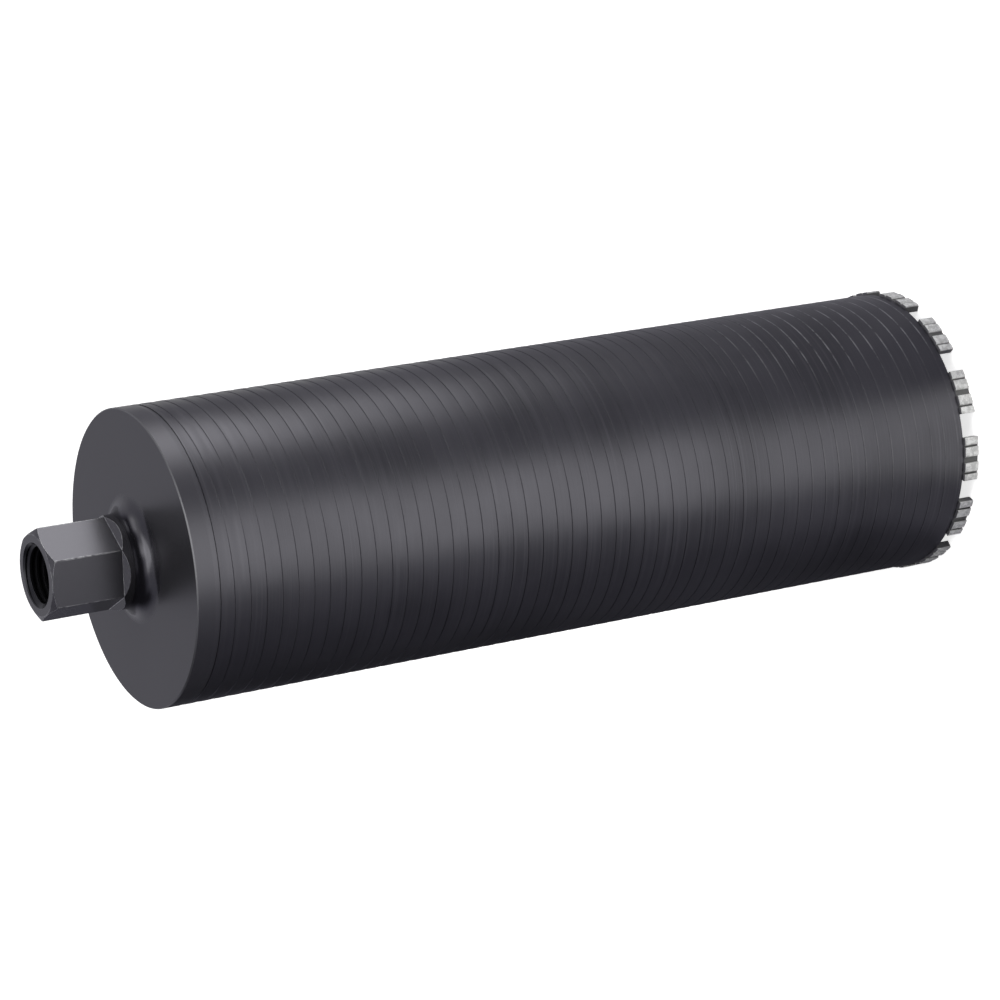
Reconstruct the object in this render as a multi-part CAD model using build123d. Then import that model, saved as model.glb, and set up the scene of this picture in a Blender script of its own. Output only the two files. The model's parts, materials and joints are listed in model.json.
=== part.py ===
from build123d import *
from math import cos, degrees, radians, sin, tan
import os

# Crown
cutting_diameter = 152.0
segment_count = 13
first_segment_angle = 7.7
segment_length = 23.8
segment_height = 9.0
segment_thickness = 4.2
outside_overhang = 1.4

# Castellated outer face of a segment
end_block = 3.6
middle_block = 4.7
narrow_groove = 1.7
groove_depth = 1.2
groove_ramp = 1.2

# Tube and back plate
tube_wall = 2.5
body_length = 446.7
plate_thickness = 12.4
plate_register = 3.0
plate_chamfer = 0.6
ring_score_width = 2.9
ring_score_depth = 0.35
neck_fillet = 9.0

# Hub outside
hub_length = 50.9
wrench_size = 41.0
wrench_angle = 46.7
wrench_flat_length = 36.9
flat_runout_angle = 50.0
bar_diameter = 47.0
end_face_diameter = 40.2
end_chamfer_angle = 30.0
spigot_diameter = 40.0

# Hub bore, cut for a 1 1/4 inch, 7 per inch spindle thread
thread_bore_diameter = 28.2
thread_length = 38.0
mouth_diameter = 32.8
relief_diameter = 32.4
relief_length = 4.0
water_bore_diameter = 20.0

# Fits
register_clearance = 0.1
spigot_clearance = 0.1

# Sizes that follow from the ones above
cutting_radius = cutting_diameter / 2
tube_radius = cutting_radius - outside_overhang
tube_bore_radius = tube_radius - tube_wall
rim_z = segment_height
face_z = rim_z + body_length
joint_z = face_z - plate_thickness
underside_z = joint_z - plate_register
neck_z = face_z + neck_fillet
hub_end_z = face_z + hub_length
bar_radius = bar_diameter / 2
spigot_radius = spigot_diameter / 2


def revolved(*lines):
    """A solid of revolution about Z from the lines round its half section."""
    section = make_face(Plane.XZ * Curve(lines))
    return revolve(section, Axis.Z)


def barrel():
    """Drawn steel tube, open at the crown and at the plate."""
    return revolved(Polyline(
        (tube_bore_radius, rim_z),
        (tube_radius, rim_z),
        (tube_radius, joint_z),
        (tube_bore_radius, joint_z),
        close=True,
    ))


def back_plate():
    """Disc that closes the tube, with a register inside it and a hollow-sided neck for the hub."""
    register_radius = tube_bore_radius - register_clearance
    bore_radius = spigot_radius + spigot_clearance
    outline = Polyline(
        (bar_radius, neck_z),
        (bore_radius, neck_z),
        (bore_radius, underside_z),
        (register_radius, underside_z),
        (register_radius, joint_z),
        (tube_radius - ring_score_depth, joint_z),
        (tube_radius, joint_z + ring_score_width),
        (tube_radius, face_z - plate_chamfer),
        (tube_radius - plate_chamfer, face_z),
        (bar_radius + neck_fillet, face_z),
    )
    fillet = CenterArc((bar_radius + neck_fillet, neck_z), neck_fillet, 180, 90)
    return revolved(outline, fillet)


def turned_hub():
    """The hub as it leaves the lathe: round bar, spigot, and a bore with countersink and relief."""
    end_radius = end_face_diameter / 2
    chamfer_height = (bar_radius - end_radius) * tan(radians(end_chamfer_angle))
    thread_radius = thread_bore_diameter / 2
    mouth_radius = mouth_diameter / 2
    relief_radius = relief_diameter / 2
    water_radius = water_bore_diameter / 2
    thread_end_z = hub_end_z - thread_length
    relief_end_z = thread_end_z - relief_length
    return revolved(Polyline(
        (bar_radius, neck_z),
        (bar_radius, hub_end_z - chamfer_height),
        (end_radius, hub_end_z),
        (mouth_radius, hub_end_z),
        (thread_radius, hub_end_z - (mouth_radius - thread_radius)),
        (thread_radius, thread_end_z),
        (relief_radius, thread_end_z),
        (relief_radius, relief_end_z),
        (water_radius, relief_end_z),
        (water_radius, underside_z),
        (spigot_radius, underside_z),
        (spigot_radius, neck_z),
        close=True,
    ))


def hexagon(size, height):
    """Hexagon of a size across its flats, turned as the hub's is, at a height."""
    outline = RegularPolygon(size / 2, 6, major_radius=False, rotation=wrench_angle)
    return Plane.XY.offset(height) * outline


def wrench_envelope():
    """Space left inside the six milled flats, which run out in slopes behind the wrench length."""
    rise = bar_radius - wrench_size / 2 + 1
    flats_z = hub_end_z - wrench_flat_length
    slope_z = flats_z - rise / tan(radians(flat_runout_angle))
    flats = extrude(hexagon(wrench_size, flats_z), amount=wrench_flat_length)
    slopes = loft([hexagon(wrench_size + 2 * rise, slope_z), hexagon(wrench_size, flats_z)])
    uncut = Plane.XY.offset(underside_z) * Circle(bar_diameter)
    return flats + slopes + extrude(uncut, amount=slope_z - underside_z)


def hub():
    """Hub for the drill's spindle, with six flats for a spanner."""
    return turned_hub() & wrench_envelope()


def arc_angle(length):
    """Angle in degrees that a length along the cutting circle takes."""
    return degrees(length / cutting_radius)


def polar(radius, angle):
    """Point at a radius and an angle in degrees."""
    return (radius * cos(radians(angle)), radius * sin(radians(angle)))


def segment_plan():
    """Plan of one segment on +X: four blocks, with a steep and a ramped wall in each groove."""
    wide_groove = segment_length - 2 * (end_block + narrow_groove + middle_block)
    blocks = [end_block, middle_block, middle_block, end_block]
    grooves = [narrow_groove, wide_groove, narrow_groove]
    floor_radius = cutting_radius - groove_depth
    inner_radius = cutting_radius - segment_thickness
    start = -arc_angle(segment_length) / 2
    with BuildSketch() as plan:
        with BuildLine():
            angle = start
            for index, block in enumerate(blocks):
                CenterArc((0, 0), cutting_radius, angle, arc_angle(block))
                angle += arc_angle(block)
                if index == len(grooves):
                    break
                floor = arc_angle(grooves[index] - groove_ramp)
                next_block = angle + arc_angle(grooves[index])
                Line(polar(cutting_radius, angle), polar(floor_radius, angle))
                CenterArc((0, 0), floor_radius, angle, floor)
                Line(polar(floor_radius, angle + floor), polar(cutting_radius, next_block))
                angle = next_block
            Line(polar(cutting_radius, angle), polar(inner_radius, angle))
            CenterArc((0, 0), inner_radius, start, angle - start)
            Line(polar(inner_radius, start), polar(cutting_radius, start))
        make_face()
    return plan.sketch


def segment(index):
    """One diamond segment, standing on the tube's rim and reaching down to the crown plane."""
    block = extrude(segment_plan(), amount=segment_height)
    return Rot(0, 0, first_segment_angle + index * 360 / segment_count) * block


os.makedirs("parts", exist_ok=True)
nodes = {"barrel": barrel(), "back_plate": back_plate(), "hub": hub()}
for number in range(segment_count):
    nodes[f"segment_{number + 1:02d}"] = segment(number)
for name, shape in nodes.items():
    export_step(shape, f"parts/{name}.step")
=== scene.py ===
import json
from math import floor, pi, radians, tan

import bmesh
import bpy
from bpy.props import FloatProperty, FloatVectorProperty, IntProperty, PointerProperty
from mathutils import Matrix, Vector

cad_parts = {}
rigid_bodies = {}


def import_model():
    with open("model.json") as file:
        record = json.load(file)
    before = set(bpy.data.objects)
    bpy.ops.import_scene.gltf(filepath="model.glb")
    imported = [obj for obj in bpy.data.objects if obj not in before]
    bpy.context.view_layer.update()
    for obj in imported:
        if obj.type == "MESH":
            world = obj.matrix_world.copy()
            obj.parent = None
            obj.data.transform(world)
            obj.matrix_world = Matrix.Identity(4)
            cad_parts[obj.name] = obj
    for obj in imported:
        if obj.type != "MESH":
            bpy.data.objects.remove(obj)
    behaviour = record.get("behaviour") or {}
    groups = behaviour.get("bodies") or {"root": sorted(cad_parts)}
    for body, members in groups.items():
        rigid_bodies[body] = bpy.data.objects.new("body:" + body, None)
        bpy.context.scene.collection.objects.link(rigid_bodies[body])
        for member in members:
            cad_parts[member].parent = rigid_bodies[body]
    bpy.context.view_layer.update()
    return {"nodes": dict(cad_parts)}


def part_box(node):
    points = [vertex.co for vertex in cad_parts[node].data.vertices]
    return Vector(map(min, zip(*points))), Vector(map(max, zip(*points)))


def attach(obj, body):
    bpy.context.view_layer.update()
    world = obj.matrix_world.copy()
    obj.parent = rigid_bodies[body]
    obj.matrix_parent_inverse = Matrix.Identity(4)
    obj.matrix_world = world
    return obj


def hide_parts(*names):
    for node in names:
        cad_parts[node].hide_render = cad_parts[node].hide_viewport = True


bl_info = {
    "name": "Diamond Core Bit",
    "version": (1, 0, 0),
    "blender": (4, 5, 0),
    "location": "3D View > Sidebar > Core Bit",
    "description": "Dresses a wet core bit: scored barrel, plate, threaded hub, segments and stage",
    "category": "Object",
}

MM = 0.001
INCH = 25.4 * MM
MERGE = 0.002 * MM

# Tones of thin paint, rubbed paint, an oiled thread and bare steel: the light ones partly painted
# highlights on edges, the dark one partly painted shade in the bore
WORN_AND_HIGHLIT = (0.19, 0.19, 0.2, 1)
RUBBED_AND_HIGHLIT = (0.38, 0.38, 0.39, 1)
OILED_AND_SHADED = (0.04, 0.04, 0.045, 1)
BARE_AND_HIGHLIT = (0.75, 0.75, 0.76, 1)
WHITE = (1, 1, 1, 1)

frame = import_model()
nodes = frame["nodes"]
segment_names = sorted(name for name in nodes if name.startswith("segment_"))


def radii(node):
    """Smallest and largest distance of a node's surface from the barrel's axis."""
    distances = [v.co.xy.length for v in nodes[node].data.vertices]
    return min(distances), max(distances)


def heights(node):
    """Lowest and highest level of a node."""
    low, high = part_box(node)
    return low.z, high.z


BARREL_BORE, BARREL_RADIUS = radii("barrel")
BARREL_FOOT, BARREL_TOP = heights("barrel")
CUTTING_RADIUS = radii(segment_names[0])[1]

# Plate: its outer radius and the level of its face
PLATE_RADIUS = radii("back_plate")[1]
PLATE_FACE = 455.7 * MM

# Hub: radii of its round bar, its end face and the mouth of its bore, then the level of its top
# and the level, just above the foot of its flats, from which its corners are rubbed and painted
# lighter as a highlight
HUB_RADIUS = radii("hub")[1]
HUB_FACE = 20.1 * MM
HUB_MOUTH = 16.4 * MM
HUB_TOP = heights("hub")[1]
HUB_RUBBED_AND_LIT_FROM = 471 * MM


# Sizes and colours


class BarrelSizes(bpy.types.PropertyGroup):
    pitch: FloatProperty(
        name="Pitch", description="Height gained in one turn of the score",
        default=8.4646 * MM, unit="LENGTH", precision=4)
    depth: FloatProperty(
        name="Depth", description="Depth of the score",
        default=0.235 * MM, unit="LENGTH", precision=5)
    flank: FloatProperty(
        name="Flank", description="Width of the steep side of the score",
        default=0.38 * MM, unit="LENGTH", precision=5)
    ramp: FloatProperty(
        name="Ramp", description="Width of the slope on the score's other side",
        default=4.6 * MM, unit="LENGTH", precision=4)
    end_height: FloatProperty(
        name="End height", description="Level above the crown at which the score runs out",
        default=20.4 * MM, unit="LENGTH", precision=4)
    fade: FloatProperty(
        name="Fade", description="Angle over which the score's last turn runs out",
        default=radians(50), subtype="ANGLE")
    fine_height: FloatProperty(
        name="Fine height", description="Level below which the score gets finer",
        default=230 * MM, unit="LENGTH", precision=4)
    fine_loss: FloatProperty(
        name="Fine loss", description="Share of its size that the score has lost at its end",
        default=0.8, min=0, max=1, subtype="FACTOR")
    far_share: FloatProperty(
        name="Far share", description="Share of that loss on the side that has rubbed less",
        default=0.4, min=0, max=1, subtype="FACTOR")
    near_height: FloatProperty(
        name="Near height", description="Level of the score at one place on the barrel's front",
        default=436.55 * MM, unit="LENGTH", precision=4)
    steps: IntProperty(
        name="Steps", description="Faces in one turn", default=144, min=48)


class HubSizes(bpy.types.PropertyGroup):
    thread_major: FloatProperty(
        name="Thread major", description="Largest diameter of the spindle thread",
        default=1.25 * INCH, unit="LENGTH", precision=4)
    thread_minor: FloatProperty(
        name="Thread minor", description="Diameter over the crests of the spindle thread",
        default=28.2 * MM, unit="LENGTH", precision=4)
    threads_per_inch: IntProperty(
        name="Threads per inch", description="Turns of the thread in an inch", default=7, min=1)
    thread_length: FloatProperty(
        name="Thread length", description="Depth of the thread from the hub's end",
        default=38 * MM, unit="LENGTH", precision=4)
    thread_steps: IntProperty(
        name="Thread steps", description="Faces in one turn of the thread", default=72, min=24)
    edge_round: FloatProperty(
        name="Edge round", description="Width of the broken edges",
        default=0.42 * MM, unit="LENGTH", precision=5)


class SegmentSizes(bpy.types.PropertyGroup):
    edge_round: FloatProperty(
        name="Edge round", description="Width of the worn edges of a block",
        default=0.18 * MM, unit="LENGTH", precision=5)


class Finishes(bpy.types.PropertyGroup):
    paint: FloatVectorProperty(
        name="Paint", description="Satin charcoal paint", subtype="COLOR",
        default=(0.113, 0.111, 0.123), min=0, max=1)
    matrix: FloatVectorProperty(
        name="Segment matrix", description="Ground metal that holds the diamonds", subtype="COLOR",
        default=(0.82, 0.82, 0.81), min=0, max=1)
    floor: FloatVectorProperty(
        name="Floor", description="Pale studio floor", subtype="COLOR",
        default=(0.82, 0.82, 0.82), min=0, max=1)


# Modelling helpers


def deselect():
    """Nothing is selected or active when a piece is started."""
    for item in bpy.context.view_layer.objects:
        item.select_set(False)
    bpy.context.view_layer.objects.active = None


def activate(item):
    """Only this object is selected, and it is active."""
    deselect()
    item.select_set(True)
    bpy.context.view_layer.objects.active = item


def edit(select_mode="VERT"):
    """Edit mode with nothing selected."""
    bpy.ops.object.mode_set(mode="EDIT")
    bpy.ops.mesh.select_mode(type=select_mode)
    bpy.ops.mesh.select_all(action="DESELECT")


def object_mode():
    bpy.ops.object.mode_set(mode="OBJECT")


def pick(item, kind, test):
    """Selects the vertices, edges or faces of the object in edit mode that pass a test."""
    mesh = bmesh.from_edit_mesh(item.data)
    for element in getattr(mesh, kind):
        if test(element):
            element.select_set(True)
    mesh.select_flush_mode()
    bmesh.update_edit_mesh(item.data)


def profile(name, points):
    """A chain of edges through points, extruded one after the other from a single vertex."""
    deselect()
    bpy.ops.mesh.primitive_plane_add(size=1 * MM, location=points[0])
    item = bpy.context.object
    item.name = item.data.name = name
    bpy.ops.object.transform_apply(location=True, rotation=True, scale=True)
    edit()
    bpy.ops.mesh.select_all(action="SELECT")
    bpy.ops.mesh.merge(type="CENTER")
    for start, end in zip(points, points[1:]):
        step = Vector(end) - Vector(start)
        bpy.ops.mesh.extrude_region_move(TRANSFORM_OT_translate={"value": step})
    object_mode()
    return item


def apply_modifier(item, kind, **settings):
    """Adds a modifier with these settings and applies it."""
    activate(item)
    modifier = item.modifiers.new(kind.title(), kind)
    for key, value in settings.items():
        setattr(modifier, key, value)
    bpy.ops.object.modifier_apply(modifier=modifier.name)


def wind(item, pitch, turns, steps):
    """Winds a profile up the barrel's axis."""
    apply_modifier(item, "SCREW", axis="Z", angle=2 * pi, screw_offset=pitch,
                   iterations=turns, steps=steps, render_steps=steps,
                   use_merge_vertices=True, merge_threshold=MERGE)


def free_copy(source, name):
    """An active copy with its own mesh, at the origin, without what fastens the first one."""
    item = source.copy()
    item.data = source.data.copy()
    item.name = item.data.name = name
    for key in list(item.keys()):
        del item[key]
    item.parent = None
    item.matrix_world = Matrix.Identity(4)
    bpy.context.scene.collection.objects.link(item)
    activate(item)
    return item


def merged_copy(node, name, *materials):
    """A copy of a CAD node with its loose triangles merged and its flat faces joined."""
    item = free_copy(nodes[node], name)
    item.data.materials.clear()
    for material in materials:
        item.data.materials.append(bpy.data.materials[material])
    if item.data.has_custom_normals:
        bpy.ops.mesh.customdata_custom_splitnormals_clear()
    edit()
    bpy.ops.mesh.select_all(action="SELECT")
    bpy.ops.mesh.remove_doubles(threshold=MERGE)
    bpy.ops.mesh.dissolve_limited(angle_limit=radians(0.6))
    object_mode()
    return item


def fasten(item, node):
    """Puts a finished piece in the place of a node of the frame."""
    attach(item, "root")
    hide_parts(node)


def smooth(item, angle):
    """Shades a piece smooth, except over edges sharper than an angle in degrees."""
    activate(item)
    bpy.ops.object.shade_smooth_by_angle(angle=radians(angle))


# Shader helpers


class Nodes:
    """Adds and links the nodes of one material or group."""

    def __init__(self, tree):
        self.tree = tree

    def add(self, kind, *inputs, **settings):
        """A node, its settings, and what its first inputs are linked or set to."""
        node = self.tree.nodes.new(kind)
        for key, value in settings.items():
            setattr(node, key, value)
        for index, value in enumerate(inputs):
            self.feed(node.inputs[index], value)
        return node

    def feed(self, socket, value):
        if value is None:
            return
        if isinstance(value, bpy.types.NodeSocket):
            self.tree.links.new(value, socket)
        else:
            socket.default_value = value

    def math(self, operation, *inputs, clamp=False):
        node = self.add("ShaderNodeMath", *inputs, operation=operation, use_clamp=clamp)
        return node.outputs[0]

    def noise(self, vector, scale, detail=2.0, roughness=0.5):
        node = self.add("ShaderNodeTexNoise")
        self.feed(node.inputs["Vector"], vector)
        self.feed(node.inputs["Scale"], scale)
        self.feed(node.inputs["Detail"], detail)
        self.feed(node.inputs["Roughness"], roughness)
        return node.outputs["Fac"]

    def between(self, value, low, high, to_low=0.0, to_high=1.0):
        """Maps a range of values onto another, with soft ends."""
        node = self.add("ShaderNodeMapRange", value, low, high, to_low, to_high,
                        interpolation_type="SMOOTHSTEP")
        return node.outputs[0]

    def mix(self, factor, first, second, blend="MIX"):
        node = self.add("ShaderNodeMix", data_type="RGBA", blend_type=blend)
        self.feed(node.inputs[0], factor)
        self.feed(node.inputs[6], first)
        self.feed(node.inputs[7], second)
        return node.outputs[2]


def new_material(name):
    """A material without nodes, and the helper that adds them."""
    material = bpy.data.materials.new(name)
    material.use_nodes = True
    material.node_tree.nodes.clear()
    return material, Nodes(material.node_tree)


def group(name, inputs, outputs):
    """An empty node group with named sockets, and its input and output nodes."""
    tree = bpy.data.node_groups.new(name, "ShaderNodeTree")
    for label, kind, value in inputs:
        socket = tree.interface.new_socket(name=label, in_out="INPUT", socket_type=kind)
        if value is not None:
            socket.default_value = value
    for label, kind in outputs:
        tree.interface.new_socket(name=label, in_out="OUTPUT", socket_type=kind)
    build = Nodes(tree)
    return build, build.add("NodeGroupInput"), build.add("NodeGroupOutput")


def lathe_marks_group():
    """Fine marks of a turning tool, round the axis, with soft blotches between them.

    The vector's Z runs across the marks, and its X and Y run along them.
    """
    build, source, result = group(
        "Lathe marks",
        [("Vector", "NodeSocketVector", None), ("Fineness", "NodeSocketFloat", 900.0),
         ("Along", "NodeSocketFloat", 6.0)],
        [("Marks", "NodeSocketFloat"), ("Blotches", "NodeSocketFloat")])
    parts = build.add("ShaderNodeSeparateXYZ", source.outputs["Vector"])
    along_x = build.math("MULTIPLY", parts.outputs[0], source.outputs["Along"])
    along_y = build.math("MULTIPLY", parts.outputs[1], source.outputs["Along"])
    across = build.math("MULTIPLY", parts.outputs[2], source.outputs["Fineness"])
    stretched = build.add("ShaderNodeCombineXYZ", along_x, along_y, across).outputs[0]
    fine = build.noise(stretched, 1.0, 3.0, 0.6)
    wide = build.noise(build.add("ShaderNodeVectorMath", stretched, (0.23, 0.23, 0.23),
                                 operation="MULTIPLY").outputs[0], 1.0, 1.0)
    both = build.math("MULTIPLY_ADD", wide, 0.45, build.math("MULTIPLY", fine, 0.55))
    build.feed(result.inputs["Marks"], both)
    build.feed(result.inputs["Blotches"], build.noise(source.outputs["Vector"], 18.0, 3.0))
    return build.tree


def speckle_group():
    """Fine grain of a sprayed paint film: a height, and light and dark flecks."""
    build, source, result = group(
        "Paint grain",
        [("Vector", "NodeSocketVector", None)],
        [("Height", "NodeSocketFloat"), ("Fleck", "NodeSocketFloat")])
    peel = build.noise(source.outputs["Vector"], 900.0, 2.0)
    dust = build.noise(source.outputs["Vector"], 2600.0, 1.0)
    build.feed(result.inputs["Height"], build.math("MULTIPLY_ADD", dust, 0.3, peel))
    build.feed(result.inputs["Fleck"], build.between(dust, 0.62, 0.8))
    return build.tree


def cylindrical(build, place):
    """Distance from the barrel's axis, and level above the crown."""
    parts = build.add("ShaderNodeSeparateXYZ", place)
    squares = build.math("ADD", build.math("MULTIPLY", parts.outputs[0], parts.outputs[0]),
                         build.math("MULTIPLY", parts.outputs[1], parts.outputs[1]))
    return build.math("SQRT", squares), parts.outputs[2]


def mark_vector(build, place, across):
    """A vector whose Z runs across the marks: up a turned side, or outwards on a turned face."""
    if across == "height":
        return place
    radius = cylindrical(build, place)[0]
    parts = build.add("ShaderNodeSeparateXYZ", place)
    vector = build.add("ShaderNodeCombineXYZ", parts.outputs[0], parts.outputs[1], radius)
    return vector.outputs[0]


def paint_material(name, lathe, speckle, across, metal, roughness, bump, contrast, shade):
    """Satin charcoal paint over turned steel, whose marks telegraph through the film.

    The shade changes the paint's colour, roughness and metal share by the place on the piece.
    """
    sizes = bpy.context.scene.core_bit_finishes
    material, build = new_material(name)
    place = build.add("ShaderNodeTexCoord").outputs["Object"]
    marks = build.add("ShaderNodeGroup", node_tree=lathe)
    build.feed(marks.inputs["Vector"], mark_vector(build, place, across))
    marks.inputs["Fineness"].default_value = 1500.0
    marks.inputs["Along"].default_value = 5.0
    grain = build.add("ShaderNodeGroup", node_tree=speckle)
    build.feed(grain.inputs["Vector"], place)
    paint = (*sizes.paint, 1)
    light = tuple(min(1, c * (1 + contrast)) for c in sizes.paint) + (1,)
    dark = tuple(c * (1 - contrast) for c in sizes.paint) + (1,)
    tone = build.mix(build.between(marks.outputs["Blotches"], 0.35, 0.65), dark, paint)
    tone = build.mix(build.between(marks.outputs["Marks"], 0.45, 0.75), tone, light)
    tone = build.mix(build.math("MULTIPLY", grain.outputs["Fleck"], 0.25), tone, light)
    spread = contrast / 3
    rough = build.between(marks.outputs["Marks"], 0.3, 0.7, roughness - spread, roughness + spread)
    look = shade(build, place, {"Base Color": tone, "Roughness": rough, "Metallic": metal})
    height = build.math("MULTIPLY_ADD", grain.outputs["Height"], 0.35, marks.outputs["Marks"])
    relief = build.add("ShaderNodeBump")
    relief.inputs["Strength"].default_value = bump
    relief.inputs["Distance"].default_value = 0.02 * MM
    build.feed(relief.inputs["Height"], height)
    shader = build.add("ShaderNodeBsdfPrincipled")
    for socket, value in look.items():
        build.feed(shader.inputs[socket], value)
    build.feed(shader.inputs["Normal"], relief.outputs[0])
    build.add("ShaderNodeOutputMaterial", shader.outputs[0])
    return material


def hub_wear_and_painted_light(build, place, look):
    """Oiled thread in the hub, near-black as painted shade, and rubbed corners and end ring, partly
    painted highlights.
    """
    radius, height = cylindrical(build, place)
    # The bore and its countersink go near-black: oiled steel, darkened as painted shade of the hole
    inside = build.between(radius, HUB_MOUTH - 0.15 * MM, HUB_MOUTH + 0.05 * MM, 1.0, 0.0)
    # Corners between the flats and the end face's edge ring: rubbed paint, lightened as a painted
    # highlight
    corner = build.math(
        "MULTIPLY",
        build.between(radius, HUB_RADIUS - 0.15 * MM, HUB_RADIUS - 0.05 * MM),
        build.between(height, HUB_RUBBED_AND_LIT_FROM - 0.5 * MM, HUB_RUBBED_AND_LIT_FROM + 0.5 * MM))
    ring = build.math(
        "MULTIPLY",
        build.between(radius, HUB_FACE - 0.2 * MM, HUB_FACE),
        build.between(height, HUB_TOP - 0.25 * MM, HUB_TOP - 0.1 * MM))
    rubbed = build.math("MULTIPLY", build.math("MAXIMUM", corner, ring),
                        build.between(build.noise(place, 400.0, 3.0), 0.35, 0.6, 0.1, 0.8))
    tone = build.mix(rubbed, look["Base Color"], RUBBED_AND_HIGHLIT)
    return {**look, "Base Color": build.mix(inside, tone, OILED_AND_SHADED)}


def worn_and_highlit_edge(build, place, look):
    """Paint rubbed thin, down to the steel in places, outside the bore, and partly a painted
    highlight of the edges.
    """
    radius = cylindrical(build, place)[0]
    rubbed = build.between(build.noise(place, 500.0, 3.0), 0.35, 0.6, 0.4, 1.0)
    outside = build.between(radius, HUB_MOUTH - 0.15 * MM, HUB_MOUTH + 0.5 * MM)
    mask = build.math("MULTIPLY", rubbed, outside)
    return {**look, "Base Color": build.mix(mask, look["Base Color"], BARE_AND_HIGHLIT)}


def rubbed_and_highlit_crests(build, place, look):
    """Broken light lines beside the score near the crown, most on one side: rubbed paint and
    painted highlight.
    """
    full_level, none_level = 70 * MM, 170 * MM
    none_side, full_side = 34 * MM, 54 * MM
    sizes = bpy.context.scene.core_bit_barrel
    parts = build.add("ShaderNodeSeparateXYZ", place)
    across, level = parts.outputs[0], parts.outputs[2]
    turn = build.math("ARCTAN2", parts.outputs[1], across)
    turns = build.math("MULTIPLY_ADD", turn, 0.5 / pi, 0.25 + sizes.near_height / sizes.pitch)
    rise = build.math("SUBTRACT", build.math("DIVIDE", level, sizes.pitch), turns)
    # Pitches above the upper edge of the score, negative below it
    past = build.math("SUBTRACT", build.math("FRACT", rise), 1 - sizes.flank / sizes.pitch)
    beside = build.math("MULTIPLY", build.between(past, -0.13, -0.03),
                        build.between(past, 0.0, 0.02, 1.0, 0.0))
    low = build.between(level, full_level, none_level, 1.0, 0.0)
    broken = build.between(build.noise(place, 90.0, 4.0, 0.7), 0.32, 0.65)
    # Strongest on the +X side, toward the lamps: the light there is partly a painted highlight
    side = build.between(across, none_side, full_side, 0.12, 1.0)
    mask = build.math("MULTIPLY", build.math("MULTIPLY", beside, low),
                      build.math("MULTIPLY", broken, side))
    return {**look, "Base Color": build.mix(mask, look["Base Color"], RUBBED_AND_HIGHLIT)}


def worn_and_highlit_rim(build, place, look):
    """Paint rubbed thin on the chamfer round the plate's face, partly a painted highlight, and
    duller on its side and face.
    """
    radius, height = cylindrical(build, place)
    outer = build.between(radius, PLATE_RADIUS - 0.7 * MM, PLATE_RADIUS - 0.5 * MM)
    chamfer = build.between(height, PLATE_FACE - 0.7 * MM, PLATE_FACE - 0.5 * MM)
    below = build.between(height, PLATE_FACE - 0.8 * MM, PLATE_FACE - 0.6 * MM, 1.0, 0.0)
    # The chamfer's light line is rubbed paint and partly a painted highlight of the edge
    rim = build.math("MULTIPLY", outer, chamfer)
    side = build.math("MULTIPLY", outer, below)
    face = build.between(radius, 29 * MM, 34 * MM)
    rough = build.math("MULTIPLY_ADD", side, 0.06, look["Roughness"])
    return {"Base Color": build.mix(rim, look["Base Color"], WORN_AND_HIGHLIT),
            "Roughness": build.math("MULTIPLY_ADD", face, 0.14, rough),
            "Metallic": build.math("MULTIPLY_ADD", face, -0.08, look["Metallic"])}


# Each paint: the way across its marks, metal share, roughness, bump, contrast, and its shade
PAINTS = [
    ("scored_paint", "height", 0.98, 0.40, 0.7, 0.18, rubbed_and_highlit_crests),
    ("turned_paint", "radius", 0.98, 0.20, 0.03, 0.015, worn_and_highlit_rim),
    ("milled_paint", "height", 0.86, 0.25, 0.015, 0.015, hub_wear_and_painted_light),
    ("worn_paint", "height", 0.98, 0.30, 0.05, 0.04, worn_and_highlit_edge),
]


def matrix_material(name, speckle):
    """Ground sintered metal, with painted shade on its groove floors and the paint's colour at its
    top.
    """
    sizes = bpy.context.scene.core_bit_finishes
    material, build = new_material(name)
    place = build.add("ShaderNodeTexCoord").outputs["Object"]
    radius, height = cylindrical(build, place)
    grain = build.add("ShaderNodeGroup", node_tree=speckle)
    build.feed(grain.inputs["Vector"], place)
    cloud = build.noise(place, 420.0, 4.0, 0.6)
    pits = build.between(build.noise(place, 1500.0, 2.0), 0.62, 0.75)
    bright, dull, pitted, groove_shade_tone = (
        tuple(c * share for c in sizes.matrix) + (1,) for share in (1, 0.72, 0.35, 0.12))
    # Painted shade: the floors of the grooves, below the blocks' faces, go near-black
    groove_shade_mask = build.between(radius, CUTTING_RADIUS - 1 * MM, CUTTING_RADIUS - 0.4 * MM, 0.95, 0.0)
    # The top of the segment, from 0.4 mm below the barrel's foot, takes the paint's colour
    paint_tone_at_top = build.between(height, BARREL_FOOT - 0.4 * MM, BARREL_FOOT - 0.15 * MM)
    tone = build.mix(build.between(cloud, 0.38, 0.60), dull, bright)
    tone = build.mix(build.math("MULTIPLY", pits, 0.7), tone, pitted)
    tone = build.mix(groove_shade_mask, tone, groove_shade_tone)
    tone = build.mix(paint_tone_at_top, tone, (*sizes.paint, 1))
    rough = build.between(cloud, 0.3, 0.7, 0.55, 0.42)
    relief = build.add("ShaderNodeBump")
    relief.inputs["Strength"].default_value = 0.4
    relief.inputs["Distance"].default_value = 0.05 * MM
    build.feed(relief.inputs["Height"],
               build.math("SUBTRACT", grain.outputs["Height"], build.math("MULTIPLY", pits, 0.8)))
    shader = build.add("ShaderNodeBsdfPrincipled")
    build.feed(shader.inputs["Base Color"], tone)
    build.feed(shader.inputs["Roughness"], rough)
    build.feed(shader.inputs["Normal"], relief.outputs[0])
    shader.inputs["Metallic"].default_value = 0.5
    build.add("ShaderNodeOutputMaterial", shader.outputs[0])
    return material


# Pieces


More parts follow.
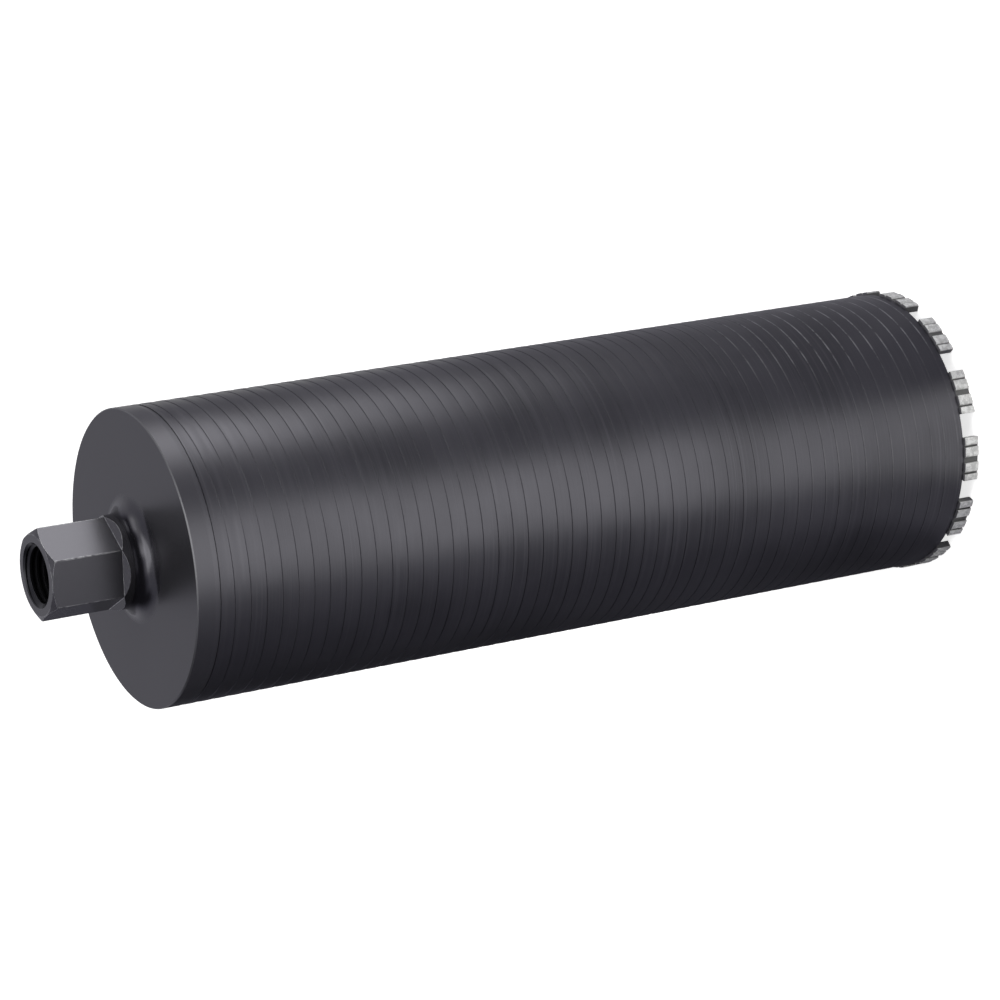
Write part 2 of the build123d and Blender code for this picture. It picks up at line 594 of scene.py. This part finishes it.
class COREBIT_OT_barrel(bpy.types.Operator):
    """Tube with its spiral score, over the plain tube of the frame"""
    bl_idname = "core_bit.barrel"
    bl_label = "Scored Barrel"

    def execute(self, context):
        sizes = context.scene.core_bit_barrel
        pitch = sizes.pitch
        deep = BARREL_RADIUS - sizes.depth

        # One pitch of the wall, on +X, from the bottom of the score up to the next one
        quarter = pitch / 4
        turns_below = floor((sizes.near_height + quarter - BARREL_FOOT) / pitch) + 1
        start = sizes.near_height + quarter - turns_below * pitch
        outline = [
            (deep, 0, start),
            (BARREL_RADIUS, 0, start + sizes.ramp),
            (BARREL_RADIUS, 0, start + pitch - sizes.flank),
            (deep, 0, start + pitch),
        ]
        item = profile("scored_barrel", outline)
        wind(item, pitch, turns_below + 2, sizes.steps)
        self.run_out(item, start, sizes)
        # Just above the first turn, which slopes from its start to one pitch higher
        self.close(item, start + 1.06 * pitch)
        item.data.materials.append(bpy.data.materials["scored_paint"])
        # Smooth round the tube and over the slope, sharp along the score
        smooth(item, 4.2)
        fasten(item, "barrel")
        return {"FINISHED"}

    def run_out(self, item, start, sizes):
        """Makes the score finer toward the crown, most on the side that has rubbed.

        Its last turn fades out to nothing.
        """
        far_edge, blend = -45 * MM, 35 * MM
        least = sizes.far_share
        fine_span = sizes.fine_height - sizes.end_height
        end = (sizes.end_height - start) / sizes.pitch * 2 * pi
        weights = item.vertex_groups.new(name="run_out")
        for vertex in item.data.vertices:
            if vertex.co.xy.length > BARREL_RADIUS - sizes.depth / 2:
                continue
            angle = Vector((1, 0)).angle_signed(vertex.co.xy) * -1 % (2 * pi)
            turn = floor((vertex.co.z - start) / sizes.pitch - angle / (2 * pi) + 0.001)
            along = angle + turn * 2 * pi - end
            low = (sizes.fine_height - vertex.co.z) / fine_span
            rubbed = least + (1 - least) * (vertex.co.x - far_edge) / blend
            worn = sizes.fine_loss * min(1, max(0, low)) * min(1, max(least, rubbed))
            weight = max(1 - min(1, max(0, along / sizes.fade)), worn)
            if weight > 0:
                weights.add([vertex.index], weight, "REPLACE")
        apply_modifier(item, "CAST", cast_type="CYLINDER", use_z=False, factor=1.0,
                       size=BARREL_RADIUS, use_radius_as_size=False, vertex_group="run_out")
        apply_modifier(item, "DISPLACE", direction="Z", mid_level=0, strength=-sizes.flank,
                       vertex_group="run_out")

    def close(self, item, low):
        """Trims the wall between two levels and adds the rim, the bore and the top face."""
        near = 0.01 * MM
        rim = 0.3 * MM
        activate(item)
        edit()
        bpy.ops.mesh.select_all(action="SELECT")
        bpy.ops.mesh.remove_doubles(threshold=MERGE)
        for level, way in ((BARREL_TOP, 1), (low, -1)):
            bpy.ops.mesh.select_all(action="SELECT")
            bpy.ops.mesh.bisect(plane_co=(0, 0, level), plane_no=(0, 0, way), clear_outer=True,
                                threshold=MERGE / 2)
        bpy.ops.mesh.select_all(action="DESELECT")
        pick(item, "verts", lambda v: abs(v.co.z - low) < near and v.is_boundary)
        levels = [
            (BARREL_FOOT + rim, BARREL_RADIUS),
            (BARREL_FOOT, BARREL_RADIUS - rim),
            (BARREL_FOOT, BARREL_BORE + rim),
            (BARREL_FOOT + rim, BARREL_BORE),
            (BARREL_TOP, BARREL_BORE),
        ]
        height, radius = low, BARREL_RADIUS
        for level, reach in levels:
            bpy.ops.mesh.extrude_region_move(
                TRANSFORM_OT_translate={"value": (0, 0, level - height)})
            scale = reach / radius
            bpy.ops.transform.resize(value=(scale, scale, 1), center_override=(0, 0, 0))
            height, radius = level, reach
        bpy.ops.mesh.select_mode(type="EDGE")
        pick(item, "edges", lambda e: e.is_boundary)
        bpy.ops.mesh.bridge_edge_loops()
        bpy.ops.mesh.select_all(action="SELECT")
        bpy.ops.mesh.remove_doubles(threshold=MERGE)
        bpy.ops.mesh.normals_make_consistent(inside=False)
        object_mode()


class COREBIT_OT_hub(bpy.types.Operator):
    """Hub with broken edges and the spindle thread cut in its bore"""
    bl_idname = "core_bit.hub"
    bl_label = "Threaded Hub"

    def execute(self, context):
        sizes = context.scene.core_bit_hub
        item = merged_copy("hub", "threaded_hub", "milled_paint", "worn_paint")
        # The bevel's faces take the second material, whose light tone is rubbed paint and partly a
        # painted highlight of the edges
        apply_modifier(item, "BEVEL", width=sizes.edge_round, segments=1, limit_method="ANGLE",
                       angle_limit=radians(34), use_clamp_overlap=True, material=1)
        tap = self.tap(sizes)
        apply_modifier(item, "BOOLEAN", operation="DIFFERENCE", object=tap, solver="EXACT")
        bpy.data.objects.remove(tap)
        smooth(item, 18)
        fasten(item, "hub")
        return {"FINISHED"}

    def tap(self, sizes):
        """The solid that cuts the thread: 60 degree ridges wound round a core."""
        below_bore = 0.3 * MM
        pitch = INCH / sizes.threads_per_inch
        crest = pitch / 8
        major = sizes.thread_major / 2
        core = sizes.thread_minor / 2 - below_bore
        flank = (major - core) * tan(radians(30))
        bottom = HUB_TOP - sizes.thread_length - pitch / 2
        start = bottom - pitch
        outline = [
            (core, 0, start),
            (major, 0, start + flank),
            (major, 0, start + flank + crest),
            (core, 0, start + 2 * flank + crest),
            (core, 0, start + pitch),
        ]
        tap = profile("tap", outline)
        wind(tap, pitch, int(sizes.thread_length / pitch) + 4, sizes.thread_steps)
        activate(tap)
        edit()
        for level, way in ((bottom, -1), (HUB_TOP + pitch, 1)):
            bpy.ops.mesh.select_all(action="SELECT")
            bpy.ops.mesh.bisect(plane_co=(0, 0, level), plane_no=(0, 0, way), clear_outer=True,
                                use_fill=True, threshold=MERGE / 2)
        bpy.ops.mesh.select_all(action="SELECT")
        bpy.ops.mesh.normals_make_consistent(inside=False)
        object_mode()
        return tap


class COREBIT_OT_plate(bpy.types.Operator):
    """Finish of the turned back plate, which keeps the frame's shape"""
    bl_idname = "core_bit.plate"
    bl_label = "Back Plate"

    def execute(self, context):
        item = nodes["back_plate"]
        item.data.materials.clear()
        item.data.materials.append(bpy.data.materials["turned_paint"])
        return {"FINISHED"}


class COREBIT_OT_segments(bpy.types.Operator):
    """Diamond segments with worn edges, modelled once and turned to each place"""
    bl_idname = "core_bit.segments"
    bl_label = "Segments"

    def execute(self, context):
        sizes = context.scene.core_bit_segments
        first = merged_copy(segment_names[0], "sintered_" + segment_names[0], "sintered_metal")
        apply_modifier(first, "BEVEL", width=sizes.edge_round, segments=2, limit_method="ANGLE",
                       angle_limit=radians(30), use_clamp_overlap=True)
        smooth(first, 25)
        fasten(first, segment_names[0])
        spacing = 2 * pi / len(segment_names)
        for index, name in enumerate(segment_names[1:], start=1):
            item = free_copy(first, "sintered_" + name)
            item.rotation_mode = "XYZ"
            item.rotation_euler = (0, 0, index * spacing)
            bpy.ops.object.transform_apply(location=True, rotation=True, scale=True)
            fasten(item, name)
        return {"FINISHED"}


class COREBIT_OT_materials(bpy.types.Operator):
    """Paint and segment finishes"""
    bl_idname = "core_bit.materials"
    bl_label = "Finishes"

    def execute(self, context):
        lathe = lathe_marks_group()
        speckle = speckle_group()
        for name, *finish in PAINTS:
            paint_material(name, lathe, speckle, *finish)
        matrix_material("sintered_metal", speckle)
        return {"FINISHED"}


# Stage

FLOOR_RADIUS = 9
TENT_RADIUS = 4
TENT_HEIGHT = 8

# Strength of the floor and the world where the camera, gloss or glass shows them, and the world's
# strength on the object
FLOOR_SEEN = 0.74
WORLD_SEEN = 1.0
WORLD_FILL = 0.3

# Each lamp: name, place, target, width and height, and watts
LAMPS = [
    ("overhead_light", (0.5, -0.6, 2.8), (0, 0, 0.1), (2.0, 2.0), 45),
    ("side_light", (1.4, -0.9, 0.75), (0, 0, 0.05), (0.9, 0.9), 12),
]

# The tent's light between its boxes, its tint there, the strength at which it is white, and the
# point that its directions are taken from
TENT_LEVEL = 0.03
TENT_SHADE = (0.97, 0.95, 1.17, 1)
TENT_WHITE = 0.7
TENT_POINT = (0, 0, HUB_TOP - 50 * MM)

# Each box of the tent: turn and rise as low, high and softness in degrees, and its strength
TENT_BOXES = [
    ((-112, 400, 22), (-62, -12, 8), 0.10),
    ((-56, 400, 16), (-120, -62, 8), 0.10),
    ((-84, -58, 12), (-120, -12, 8), 0.04),
    ((-400, 400, 1), (-120, -50, 10), 0.03),
    ((-27, 26, 7), (-60, -10, 6), 1.02),
    ((-24, 20, 9), (-120, -60, 6), 0.85),
    ((-26, 26, 7), (-46, -10, 10), 0.52),
    ((-58, -28, 10), (-120, -10, 6), 0.18),
    ((28, 70, 8), (-120, -12, 8), 0.17),
    ((66, 190, 12), (-120, -12, 8), 0.19),
    ((73, 107, 6), (-36, -8, 11), 2.1),
    ((66, 110, 8), (-22, -8, 2), 0.25),
    ((-180, -144, 6), (-26, -8, 3), 0.10),
    ((150, 186, 10), (-42, -8, 8), 0.4),
    ((68, 200, 16), (16, 50, 10), 0.36),
    ((8, 70, 13), (28, 56, 8), 0.42),
    ((-42, 20, 12), (33, 56, 6), 0.40),
    ((10, 38, 8), (26, 56, 8), 0.55),
    ((70, 112, 8), (16, 35, 4), 0.5),
    ((-90, -42, 12), (34, 56, 8), 0.15),
    ((66, 120, 14), (24, 50, 8), 0.17),
    ((118, 200, 14), (-8, 18, 10), 0.36),
    ((-200, -130, 20), (-8, 46, 12), 0.38),
    ((-400, 400, 1), (50, 200, 8), 0.28),
    ((-38, 66, 18), (50, 200, 6), 1.1),
    ((-400, 400, 1), (74, 200, 8), 0.2),
]


def tent_strength(build):
    """Brightness of the light tent by direction from the hub: turn from the front, and rise."""
    place = build.add("ShaderNodeTexCoord").outputs["Object"]
    ray = build.add("ShaderNodeVectorMath", place, TENT_POINT, operation="SUBTRACT")
    ray = build.add("ShaderNodeVectorMath", ray.outputs[0], operation="NORMALIZE")
    parts = build.add("ShaderNodeSeparateXYZ", ray.outputs[0])
    forward = build.math("MULTIPLY", parts.outputs[1], -1.0)
    turn = build.math("ARCTAN2", parts.outputs[0], forward)
    rise = build.math("ARCSINE", parts.outputs[2])

    def window(angle, low, high, soft):
        """One between two angles, falling softly to nothing outside them."""
        opening = build.between(angle, radians(low - soft), radians(low + soft))
        closing = build.between(angle, radians(high - soft), radians(high + soft), 1.0, 0.0)
        return build.math("MULTIPLY", opening, closing)

    total = TENT_LEVEL
    for turns, rises, strength in TENT_BOXES:
        box = build.math("MULTIPLY", window(turn, *turns), window(rise, *rises))
        total = build.math("MULTIPLY_ADD", box, strength, total)
    return total


def seen_rays(build):
    """One for the rays that show the background: from the camera, off gloss and through glass."""
    rays = build.add("ShaderNodeLightPath")
    return build.math("MAXIMUM", rays.outputs["Is Camera Ray"],
                      build.math("MAXIMUM", rays.outputs["Is Glossy Ray"],
                                 rays.outputs["Is Transmission Ray"]))


class COREBIT_OT_stage(bpy.types.Operator):
    """Pale floor, soft lights, light tent and the camera of the photograph"""
    bl_idname = "core_bit.stage"
    bl_label = "Stage"

    def execute(self, context):
        self.floor(context)
        self.world(context)
        self.tent()
        for lamp in LAMPS:
            self.lamp(*lamp)
        self.camera(context)
        context.scene.view_settings.view_transform = "Standard"
        return {"FINISHED"}

    def floor(self, context):
        deselect()
        bpy.ops.mesh.primitive_circle_add(vertices=64, radius=FLOOR_RADIUS, fill_type="NGON",
                                          location=(0, 0, 0))
        floor_object = context.object
        floor_object.name = "studio_floor"
        material, build = new_material("studio_floor")
        colour = (*context.scene.core_bit_finishes.floor, 1)
        matt = build.add("ShaderNodeBsdfDiffuse", colour)
        shine = build.add("ShaderNodeEmission", WHITE,
                          build.math("MULTIPLY", seen_rays(build), FLOOR_SEEN))
        both = build.add("ShaderNodeAddShader", matt.outputs[0], shine.outputs[0])
        build.add("ShaderNodeOutputMaterial", both.outputs[0])
        floor_object.data.materials.append(material)

    def world(self, context):
        world = bpy.data.worlds.new("studio")
        context.scene.world = world
        world.use_nodes = True
        world.node_tree.nodes.clear()
        build = Nodes(world.node_tree)
        strength = build.math("MULTIPLY_ADD", seen_rays(build), WORLD_SEEN - WORLD_FILL,
                              WORLD_FILL)
        shader = build.add("ShaderNodeBackground", WHITE, strength)
        build.add("ShaderNodeOutputWorld", shader.outputs[0])

    def tent(self):
        """Reflectors round the object, which only its gloss sees."""
        deselect()
        above_floor = 0.5 * MM
        bpy.ops.mesh.primitive_cylinder_add(vertices=96, radius=TENT_RADIUS, depth=TENT_HEIGHT,
                                            location=(0, 0, TENT_HEIGHT / 2 + above_floor))
        tent = bpy.context.object
        tent.name = "light_tent"
        bpy.ops.object.transform_apply(location=True, rotation=True, scale=True)
        material, build = new_material("light_tent")
        strength = tent_strength(build)
        colour = build.mix(build.between(strength, 0.0, TENT_WHITE), TENT_SHADE, WHITE)
        shader = build.add("ShaderNodeEmission", colour, strength)
        build.add("ShaderNodeOutputMaterial", shader.outputs[0])
        tent.data.materials.append(material)
        for ray in ("camera", "diffuse", "transmission", "volume_scatter", "shadow"):
            setattr(tent, "visible_" + ray, False)

    def lamp(self, name, place, target, size, watts):
        deselect()
        bpy.ops.object.light_add(type="AREA", location=place)
        lamp = bpy.context.object
        lamp.name = name
        lamp.data.shape = "RECTANGLE"
        lamp.data.size, lamp.data.size_y = size
        lamp.data.energy = watts
        lamp.visible_camera = False
        lamp.visible_glossy = False
        look = Vector(target) - Vector(place)
        lamp.rotation_euler = look.to_track_quat("-Z", "Y").to_euler()

    def camera(self, context):
        """Axes and place fitted to the outlines of the barrel, plate and hub in the photograph."""
        right = Vector((-0.13161, -0.47657, -0.86923))
        up = Vector((0.98873, 0.0, -0.14971))
        back = right.cross(up)
        place = Vector((0.13102, -1.63945, 1.12820))
        data = bpy.data.cameras.new("camera")
        data.sensor_width = 36
        data.lens = 130.2165
        camera = bpy.data.objects.new("camera", data)
        turn = Matrix((right, up, back)).transposed().to_4x4()
        camera.matrix_world = Matrix.Translation(place) @ turn
        context.scene.collection.objects.link(camera)
        context.scene.camera = camera


class COREBIT_PT_sidebar(bpy.types.Panel):
    """Sizes, colours and steps of the core bit"""
    bl_idname = "COREBIT_PT_sidebar"
    bl_label = "Core Bit"
    bl_space_type = "VIEW_3D"
    bl_region_type = "UI"
    bl_category = "Core Bit"

    def draw(self, context):
        layout = self.layout
        for label, name in SETTINGS:
            box = layout.box()
            box.label(text=label)
            values = getattr(context.scene, name)
            for key in values.__annotations__:
                box.prop(values, key)
        for operator in OPERATORS:
            layout.operator(operator.bl_idname)


SETTINGS = [
    ("Barrel", "core_bit_barrel"),
    ("Hub", "core_bit_hub"),
    ("Segments", "core_bit_segments"),
    ("Finishes", "core_bit_finishes"),
]
GROUPS = [BarrelSizes, HubSizes, SegmentSizes, Finishes]
OPERATORS = [
    COREBIT_OT_materials,
    COREBIT_OT_barrel,
    COREBIT_OT_plate,
    COREBIT_OT_hub,
    COREBIT_OT_segments,
    COREBIT_OT_stage,
]


def register():
    for item in (*GROUPS, *OPERATORS, COREBIT_PT_sidebar):
        bpy.utils.register_class(item)
    for (label, name), kind in zip(SETTINGS, GROUPS):
        setattr(bpy.types.Scene, name, PointerProperty(type=kind, name=label))


def unregister():
    for _, name in SETTINGS:
        delattr(bpy.types.Scene, name)
    for item in reversed((*GROUPS, *OPERATORS, COREBIT_PT_sidebar)):
        bpy.utils.unregister_class(item)


def main():
    register()
    bpy.ops.core_bit.materials()
    bpy.ops.core_bit.barrel()
    bpy.ops.core_bit.plate()
    bpy.ops.core_bit.hub()
    bpy.ops.core_bit.segments()
    bpy.ops.core_bit.stage()


if __name__ == "__main__":
    main()
